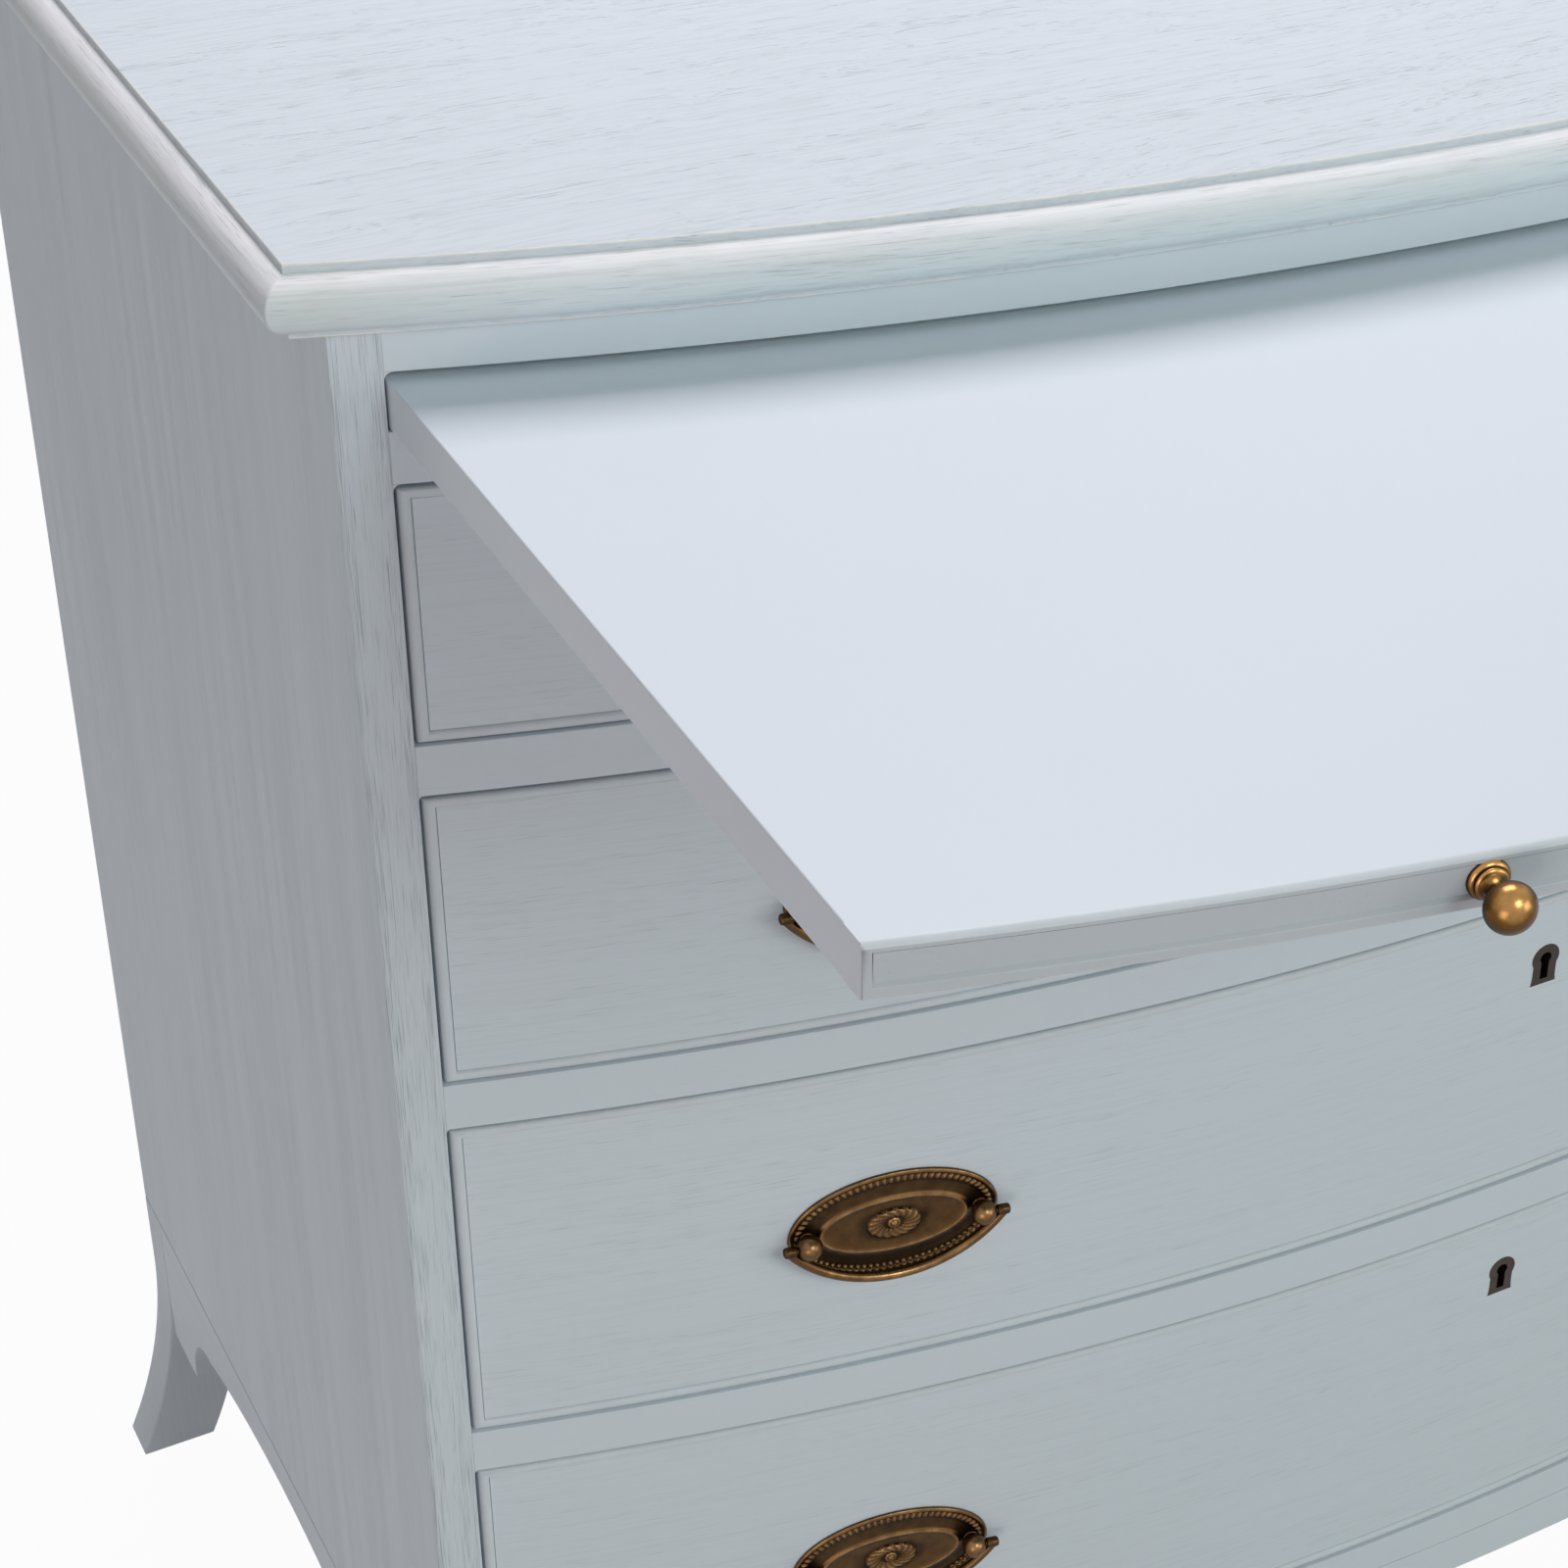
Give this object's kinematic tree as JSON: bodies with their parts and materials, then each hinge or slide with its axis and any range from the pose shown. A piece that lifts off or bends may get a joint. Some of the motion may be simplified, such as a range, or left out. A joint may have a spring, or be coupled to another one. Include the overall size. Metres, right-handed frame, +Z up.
{
  "type": "bow front chest of drawers",
  "caption": "Bow front chest of graduated drawers on splay feet, with a pull-out slide under its moulded top, oval back plates and swinging bail handles.",
  "frame": {"origin": "on the floor, under the middle of the box around the chest with its slide drawn out as at rest", "axes": "+X to the chest's right side, +Y to its back, +Z up"},
  "size_m": [1.01, 0.8619, 0.8865],
  "materials": {
    "painted_oak": "pale blue grey paint, rubbed at the edges, over open grained oak",
    "bare_oak": "plain, unpainted",
    "old_brass": "aged brass, dark in the hollows",
    "dark_bronze": "dark bronze"
  },
  "bodies": {
    "carcass": {"back_panel": "bare_oak", "bottom_board": "painted_oak", "drawer_rail_1": "painted_oak", "drawer_rail_2": "painted_oak", "drawer_rail_3": "painted_oak", "drawer_runners": "bare_oak", "drawer_stops": "bare_oak", "foot_back_left": "painted_oak", "foot_back_right": "painted_oak", "foot_front_left": "painted_oak", "foot_front_right": "painted_oak", "front_apron": "painted_oak", "glue_blocks": "bare_oak", "side_apron_left": "painted_oak", "side_apron_right": "painted_oak", "side_left": "painted_oak", "side_right": "painted_oak", "slide_kickers": "bare_oak", "slide_rail": "painted_oak", "slide_runners": "bare_oak", "top_back_rail": "bare_oak", "top_moulding": "painted_oak", "top_panel": "painted_oak", "top_rail": "painted_oak"},
    "slide": {"slide_board": "painted_oak", "slide_edging": "painted_oak", "slide_knobs": "old_brass"},
    "drawer_1": {"drawer_1_bottom": "bare_oak", "drawer_1_box": "bare_oak", "drawer_1_cock_beads": "painted_oak", "drawer_1_escutcheon": "dark_bronze", "drawer_1_front": "painted_oak", "drawer_1_handle_plates": "old_brass"},
    "drawer_1_bail_left": {"drawer_1_bail_left": "old_brass"},
    "drawer_1_bail_right": {"drawer_1_bail_right": "old_brass"},
    "drawer_2": {"drawer_2_bottom": "bare_oak", "drawer_2_box": "bare_oak", "drawer_2_cock_beads": "painted_oak", "drawer_2_escutcheon": "dark_bronze", "drawer_2_front": "painted_oak", "drawer_2_handle_plates": "old_brass"},
    "drawer_2_bail_left": {"drawer_2_bail_left": "old_brass"},
    "drawer_2_bail_right": {"drawer_2_bail_right": "old_brass"},
    "drawer_3": {"drawer_3_bottom": "bare_oak", "drawer_3_box": "bare_oak", "drawer_3_cock_beads": "painted_oak", "drawer_3_escutcheon": "dark_bronze", "drawer_3_front": "painted_oak", "drawer_3_handle_plates": "old_brass"},
    "drawer_3_bail_left": {"drawer_3_bail_left": "old_brass"},
    "drawer_3_bail_right": {"drawer_3_bail_right": "old_brass"},
    "drawer_4": {"drawer_4_bottom": "bare_oak", "drawer_4_box": "bare_oak", "drawer_4_cock_beads": "painted_oak", "drawer_4_escutcheon": "dark_bronze", "drawer_4_front": "painted_oak", "drawer_4_handle_plates": "old_brass"},
    "drawer_4_bail_left": {"drawer_4_bail_left": "old_brass"},
    "drawer_4_bail_right": {"drawer_4_bail_right": "old_brass"}
  },
  "joints": [
    {"name": "slide_draw", "type": "slide", "parent": "carcass", "child": "slide", "axis": [0, -1, 0], "range_m": [-0.338, 0.022]},
    {"name": "drawer_1_draw", "type": "slide", "parent": "carcass", "child": "drawer_1", "axis": [0, -1, 0], "range_m": [0, 0.3]},
    {"name": "drawer_1_bail_left_swing", "type": "hinge", "parent": "drawer_1", "child": "drawer_1_bail_left", "pos_m": [-0.29662, -0.07017, 0.74725], "axis": [-0.9844, 0.1761, 0], "range_deg": [0, 90]},
    {"name": "drawer_1_bail_right_swing", "type": "hinge", "parent": "drawer_1", "child": "drawer_1_bail_right", "pos_m": [0.29662, -0.07017, 0.74725], "axis": [-0.9844, -0.1761, 0], "range_deg": [0, 90]},
    {"name": "drawer_2_draw", "type": "slide", "parent": "carcass", "child": "drawer_2", "axis": [0, -1, 0], "range_m": [0, 0.3]},
    {"name": "drawer_2_bail_left_swing", "type": "hinge", "parent": "drawer_2", "child": "drawer_2_bail_left", "pos_m": [-0.29662, -0.07017, 0.61125], "axis": [-0.9844, 0.1761, 0], "range_deg": [0, 90]},
    {"name": "drawer_2_bail_right_swing", "type": "hinge", "parent": "drawer_2", "child": "drawer_2_bail_right", "pos_m": [0.29662, -0.07017, 0.61125], "axis": [-0.9844, -0.1761, 0], "range_deg": [0, 90]},
    {"name": "drawer_3_draw", "type": "slide", "parent": "carcass", "child": "drawer_3", "axis": [0, -1, 0], "range_m": [0, 0.3]},
    {"name": "drawer_3_bail_left_swing", "type": "hinge", "parent": "drawer_3", "child": "drawer_3_bail_left", "pos_m": [-0.29662, -0.07017, 0.449], "axis": [-0.9844, 0.1761, 0], "range_deg": [0, 90]},
    {"name": "drawer_3_bail_right_swing", "type": "hinge", "parent": "drawer_3", "child": "drawer_3_bail_right", "pos_m": [0.29662, -0.07017, 0.449], "axis": [-0.9844, -0.1761, 0], "range_deg": [0, 90]},
    {"name": "drawer_4_draw", "type": "slide", "parent": "carcass", "child": "drawer_4", "axis": [0, -1, 0], "range_m": [0, 0.3]},
    {"name": "drawer_4_bail_left_swing", "type": "hinge", "parent": "drawer_4", "child": "drawer_4_bail_left", "pos_m": [-0.29662, -0.07017, 0.2605], "axis": [-0.9844, 0.1761, 0], "range_deg": [0, 90]},
    {"name": "drawer_4_bail_right_swing", "type": "hinge", "parent": "drawer_4", "child": "drawer_4_bail_right", "pos_m": [0.29662, -0.07017, 0.2605], "axis": [-0.9844, -0.1761, 0], "range_deg": [0, 90]}
  ]
}
